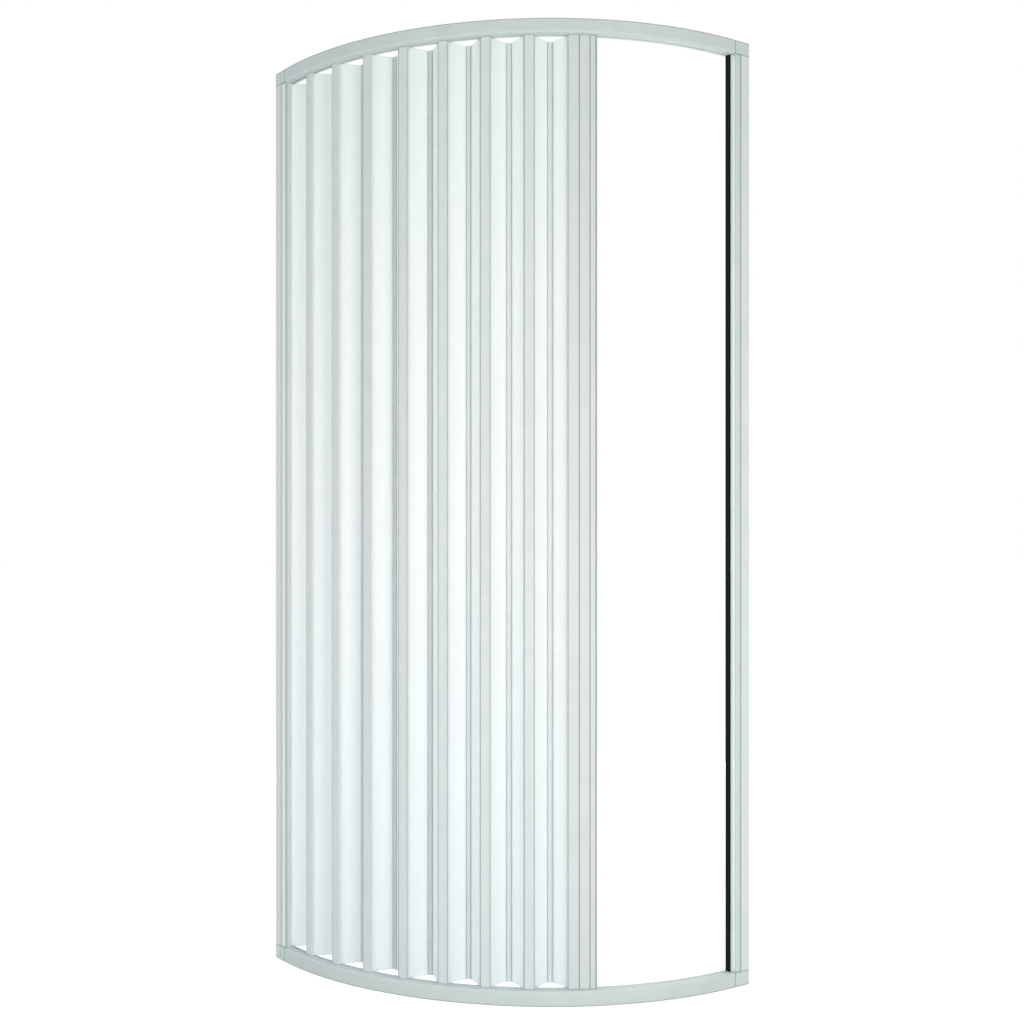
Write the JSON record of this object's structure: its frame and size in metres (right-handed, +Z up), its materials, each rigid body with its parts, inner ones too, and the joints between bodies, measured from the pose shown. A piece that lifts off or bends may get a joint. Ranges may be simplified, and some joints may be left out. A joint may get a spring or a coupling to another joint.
{
  "type": "quadrant shower enclosure",
  "caption": "Quarter-circle corner shower enclosure with a folding bellows door sliding on curved top and bottom rails.",
  "frame": {"origin": "centre of the square footprint at floor level, under the bottom rail", "axes": "+Z up; wall A is the plane x = -0.343 m and wall B is the plane y = +0.343 m; the curved front faces +X and -Y; the folded pleats gather at the wall A end"},
  "size_m": [0.686, 0.686, 1.85],
  "materials": {
    "pale_pvc_frame": "satin pale grey-green extruded PVC",
    "pale_pvc_moulding": "satin moulded PVC",
    "pale_pvc_channel": "satin extruded PVC",
    "pale_pvc_jamb": "satin extruded PVC",
    "pale_pvc_post": "satin extruded PVC",
    "pale_pvc_handle": "satin extruded PVC",
    "translucent_slat": "translucent ribbed PVC sheet, pearl white",
    "black_magnet_strip": "matt black flexible magnet strip",
    "grey_magnet_strip": "matt grey flexible magnet strip",
    "slider_nylon": "white nylon",
    "screw_steel": "stainless steel"
  },
  "bodies": {
    "frame": {"top_rail": "pale_pvc_frame", "bottom_rail": "pale_pvc_frame", "corner_bottom_left": "pale_pvc_moulding", "corner_bottom_right": "pale_pvc_moulding", "corner_top_left": "pale_pvc_moulding", "corner_top_right": "pale_pvc_moulding", "wall_channel_left": "pale_pvc_channel", "wall_channel_right": "pale_pvc_channel", "jamb_profile_left": "pale_pvc_jamb", "jamb_profile_right": "pale_pvc_jamb", "strike_profile": "pale_pvc_jamb", "strike_magnet": "black_magnet_strip", "corner_screws": "screw_steel", "lock_screws": "screw_steel"},
    "handle": {"handle_profile": "pale_pvc_handle", "handle_magnet": "grey_magnet_strip", "handle_sliders": "slider_nylon"},
    "post_2": {"outer_post_2": "pale_pvc_post", "post_sliders_2": "slider_nylon"},
    "post_3": {"outer_post_3": "pale_pvc_post", "post_sliders_3": "slider_nylon"},
    "post_4": {"outer_post_4": "pale_pvc_post", "post_sliders_4": "slider_nylon"},
    "post_5": {"outer_post_5": "pale_pvc_post", "post_sliders_5": "slider_nylon"},
    "post_6": {"outer_post_6": "pale_pvc_post", "post_sliders_6": "slider_nylon"},
    "post_7": {"outer_post_7": "pale_pvc_post", "post_sliders_7": "slider_nylon"},
    "post_8": {"outer_post_8": "pale_pvc_post", "post_sliders_8": "slider_nylon"},
    "slat_left_1": {"slat_left_1": "translucent_slat"},
    "inner_post_1": {"inner_post_1": "pale_pvc_post"},
    "slat_right_1": {"slat_right_1": "translucent_slat"},
    "slat_left_2": {"slat_left_2": "translucent_slat"},
    "inner_post_2": {"inner_post_2": "pale_pvc_post"},
    "slat_right_2": {"slat_right_2": "translucent_slat"},
    "slat_left_3": {"slat_left_3": "translucent_slat"},
    "inner_post_3": {"inner_post_3": "pale_pvc_post"},
    "slat_right_3": {"slat_right_3": "translucent_slat"},
    "slat_left_4": {"slat_left_4": "translucent_slat"},
    "inner_post_4": {"inner_post_4": "pale_pvc_post"},
    "slat_right_4": {"slat_right_4": "translucent_slat"},
    "slat_left_5": {"slat_left_5": "translucent_slat"},
    "inner_post_5": {"inner_post_5": "pale_pvc_post"},
    "slat_right_5": {"slat_right_5": "translucent_slat"},
    "slat_left_6": {"slat_left_6": "translucent_slat"},
    "inner_post_6": {"inner_post_6": "pale_pvc_post"},
    "slat_right_6": {"slat_right_6": "translucent_slat"},
    "slat_left_7": {"slat_left_7": "translucent_slat"},
    "inner_post_7": {"inner_post_7": "pale_pvc_post"},
    "slat_right_7": {"slat_right_7": "translucent_slat"},
    "slat_left_8": {"slat_left_8": "translucent_slat"},
    "inner_post_8": {"inner_post_8": "pale_pvc_post"},
    "slat_right_8": {"slat_right_8": "translucent_slat"}
  },
  "joints": [
    {"name": "handle_travel", "type": "hinge", "parent": "frame", "child": "handle", "pos_m": [-0.305, 0.305, 0.925], "axis": [0, 0, 1], "range_deg": [-32, 26]},
    {"name": "post_2_travel", "type": "hinge", "parent": "frame", "child": "post_2", "pos_m": [-0.305, 0.305, 0.925], "axis": [0, 0, 1], "range_deg": [-4.05, 3.3]},
    {"name": "post_3_travel", "type": "hinge", "parent": "frame", "child": "post_3", "pos_m": [-0.305, 0.305, 0.925], "axis": [0, 0, 1], "range_deg": [-8.05, 6.55]},
    {"name": "post_4_travel", "type": "hinge", "parent": "frame", "child": "post_4", "pos_m": [-0.305, 0.305, 0.925], "axis": [0, 0, 1], "range_deg": [-12.05, 9.8]},
    {"name": "post_5_travel", "type": "hinge", "parent": "frame", "child": "post_5", "pos_m": [-0.305, 0.305, 0.925], "axis": [0, 0, 1], "range_deg": [-16.05, 13.05]},
    {"name": "post_6_travel", "type": "hinge", "parent": "frame", "child": "post_6", "pos_m": [-0.305, 0.305, 0.925], "axis": [0, 0, 1], "range_deg": [-20.05, 16.3]},
    {"name": "post_7_travel", "type": "hinge", "parent": "frame", "child": "post_7", "pos_m": [-0.305, 0.305, 0.925], "axis": [0, 0, 1], "range_deg": [-24.05, 19.55]},
    {"name": "post_8_travel", "type": "hinge", "parent": "frame", "child": "post_8", "pos_m": [-0.305, 0.305, 0.925], "axis": [0, 0, 1], "range_deg": [-28.05, 22.8]},
    {"name": "slat_left_1_fold", "type": "hinge", "parent": "frame", "child": "slat_left_1", "pos_m": [-0.30561, -0.32756, 0.925], "axis": [0, 0, 1], "range_deg": [-26.45, 32.55]},
    {"name": "inner_post_1_turn", "type": "hinge", "parent": "slat_left_1", "child": "inner_post_1", "pos_m": [-0.27999, -0.2896, 0.925], "axis": [0, 0, 1], "range_deg": [-34.55, 28.08]},
    {"name": "slat_right_1_fold", "type": "hinge", "parent": "post_2", "child": "slat_right_1", "pos_m": [-0.24069, -0.32429, 0.925], "axis": [0, 0, 1], "range_deg": [-32.55, 26.45]},
    {"name": "slat_left_2_fold", "type": "hinge", "parent": "post_2", "child": "slat_left_2", "pos_m": [-0.22282, -0.3222, 0.925], "axis": [0, 0, 1], "range_deg": [-26.45, 32.55]},
    {"name": "inner_post_2_turn", "type": "hinge", "parent": "slat_left_2", "child": "inner_post_2", "pos_m": [-0.20239, -0.28121, 0.925], "axis": [0, 0, 1], "range_deg": [-34.55, 28.08]},
    {"name": "slat_right_2_fold", "type": "hinge", "parent": "post_3", "child": "slat_right_2", "pos_m": [-0.15889, -0.31046, 0.925], "axis": [0, 0, 1], "range_deg": [-32.55, 26.45]},
    {"name": "slat_left_3_fold", "type": "hinge", "parent": "post_3", "child": "slat_left_3", "pos_m": [-0.14144, -0.30605, 0.925], "axis": [0, 0, 1], "range_deg": [-26.45, 32.55]},
    {"name": "inner_post_3_turn", "type": "hinge", "parent": "slat_left_3", "child": "inner_post_3", "pos_m": [-0.12655, -0.26274, 0.925], "axis": [0, 0, 1], "range_deg": [-34.55, 28.08]},
    {"name": "slat_right_3_fold", "type": "hinge", "parent": "post_4", "child": "slat_right_3", "pos_m": [-0.0796, -0.28604, 0.925], "axis": [0, 0, 1], "range_deg": [-32.55, 26.45]},
    {"name": "slat_left_4_fold", "type": "hinge", "parent": "post_4", "child": "slat_left_4", "pos_m": [-0.06288, -0.27939, 0.925], "axis": [0, 0, 1], "range_deg": [-26.45, 32.55]},
    {"name": "inner_post_4_turn", "type": "hinge", "parent": "slat_left_4", "child": "inner_post_4", "pos_m": [-0.05379, -0.2345, 0.925], "axis": [0, 0, 1], "range_deg": [-34.55, 28.08]},
    {"name": "slat_right_4_fold", "type": "hinge", "parent": "post_5", "child": "slat_right_4", "pos_m": [-0.00419, -0.25146, 0.925], "axis": [0, 0, 1], "range_deg": [-32.55, 26.45]},
    {"name": "slat_left_5_fold", "type": "hinge", "parent": "post_5", "child": "slat_left_5", "pos_m": [0.01152, -0.24268, 0.925], "axis": [0, 0, 1], "range_deg": [-26.45, 32.55]},
    {"name": "inner_post_5_turn", "type": "hinge", "parent": "slat_left_5", "child": "inner_post_5", "pos_m": [0.01466, -0.19698, 0.925], "axis": [0, 0, 1], "range_deg": [-34.55, 28.08]},
    {"name": "slat_right_5_fold", "type": "hinge", "parent": "post_6", "child": "slat_right_5", "pos_m": [0.06605, -0.20731, 0.925], "axis": [0, 0, 1], "range_deg": [-32.55, 26.45]},
    {"name": "slat_left_6_fold", "type": "hinge", "parent": "post_6", "child": "slat_left_6", "pos_m": [0.08048, -0.19654, 0.925], "axis": [0, 0, 1], "range_deg": [-26.45, 32.55]},
    {"name": "inner_post_6_turn", "type": "hinge", "parent": "slat_left_6", "child": "inner_post_6", "pos_m": [0.07761, -0.15083, 0.925], "axis": [0, 0, 1], "range_deg": [-34.55, 28.08]},
    {"name": "slat_right_6_fold", "type": "hinge", "parent": "post_7", "child": "slat_right_6", "pos_m": [0.12991, -0.15434, 0.925], "axis": [0, 0, 1], "range_deg": [-32.55, 26.45]},
    {"name": "slat_left_7_fold", "type": "hinge", "parent": "post_7", "child": "slat_left_7", "pos_m": [0.1428, -0.14178, 0.925], "axis": [0, 0, 1], "range_deg": [-26.45, 32.55]},
    {"name": "inner_post_7_turn", "type": "hinge", "parent": "slat_left_7", "child": "inner_post_7", "pos_m": [0.13397, -0.09684, 0.925], "axis": [0, 0, 1], "range_deg": [-34.55, 28.08]},
    {"name": "slat_right_7_fold", "type": "hinge", "parent": "post_8", "child": "slat_right_7", "pos_m": [0.18628, -0.09347, 0.925], "axis": [0, 0, 1], "range_deg": [-32.55, 26.45]},
    {"name": "slat_left_8_fold", "type": "hinge", "parent": "post_8", "child": "slat_left_8", "pos_m": [0.19742, -0.07933, 0.925], "axis": [0, 0, 1], "range_deg": [-26.45, 32.55]},
    {"name": "inner_post_8_turn", "type": "hinge", "parent": "slat_left_8", "child": "inner_post_8", "pos_m": [0.18279, -0.03593, 0.925], "axis": [0, 0, 1], "range_deg": [-34.55, 28.08]},
    {"name": "slat_right_8_fold", "type": "hinge", "parent": "handle", "child": "slat_right_8", "pos_m": [0.2342, -0.02575, 0.925], "axis": [0, 0, 1], "range_deg": [-32.55, 26.45]}
  ],
  "couplings": [
    {"joint": "post_2_travel", "follows": "handle_travel", "ratio": 0.125},
    {"joint": "post_3_travel", "follows": "handle_travel", "ratio": 0.25},
    {"joint": "post_4_travel", "follows": "handle_travel", "ratio": 0.375},
    {"joint": "post_5_travel", "follows": "handle_travel", "ratio": 0.5},
    {"joint": "post_6_travel", "follows": "handle_travel", "ratio": 0.625},
    {"joint": "post_7_travel", "follows": "handle_travel", "ratio": 0.75},
    {"joint": "post_8_travel", "follows": "handle_travel", "ratio": 0.875},
    {"joint": "slat_left_1_fold", "follows": "handle_travel", "ratio": -1.0155},
    {"joint": "inner_post_1_turn", "follows": "handle_travel", "ratio": 1.078},
    {"joint": "slat_right_1_fold", "follows": "handle_travel", "ratio": 1.0155},
    {"joint": "slat_left_2_fold", "follows": "handle_travel", "ratio": -1.0155},
    {"joint": "inner_post_2_turn", "follows": "handle_travel", "ratio": 1.078},
    {"joint": "slat_right_2_fold", "follows": "handle_travel", "ratio": 1.0155},
    {"joint": "slat_left_3_fold", "follows": "handle_travel", "ratio": -1.0155},
    {"joint": "inner_post_3_turn", "follows": "handle_travel", "ratio": 1.078},
    {"joint": "slat_right_3_fold", "follows": "handle_travel", "ratio": 1.0155},
    {"joint": "slat_left_4_fold", "follows": "handle_travel", "ratio": -1.0155},
    {"joint": "inner_post_4_turn", "follows": "handle_travel", "ratio": 1.078},
    {"joint": "slat_right_4_fold", "follows": "handle_travel", "ratio": 1.0155},
    {"joint": "slat_left_5_fold", "follows": "handle_travel", "ratio": -1.0155},
    {"joint": "inner_post_5_turn", "follows": "handle_travel", "ratio": 1.078},
    {"joint": "slat_right_5_fold", "follows": "handle_travel", "ratio": 1.0155},
    {"joint": "slat_left_6_fold", "follows": "handle_travel", "ratio": -1.0155},
    {"joint": "inner_post_6_turn", "follows": "handle_travel", "ratio": 1.078},
    {"joint": "slat_right_6_fold", "follows": "handle_travel", "ratio": 1.0155},
    {"joint": "slat_left_7_fold", "follows": "handle_travel", "ratio": -1.0155},
    {"joint": "inner_post_7_turn", "follows": "handle_travel", "ratio": 1.078},
    {"joint": "slat_right_7_fold", "follows": "handle_travel", "ratio": 1.0155},
    {"joint": "slat_left_8_fold", "follows": "handle_travel", "ratio": -1.0155},
    {"joint": "inner_post_8_turn", "follows": "handle_travel", "ratio": 1.078},
    {"joint": "slat_right_8_fold", "follows": "handle_travel", "ratio": 1.0155}
  ]
}
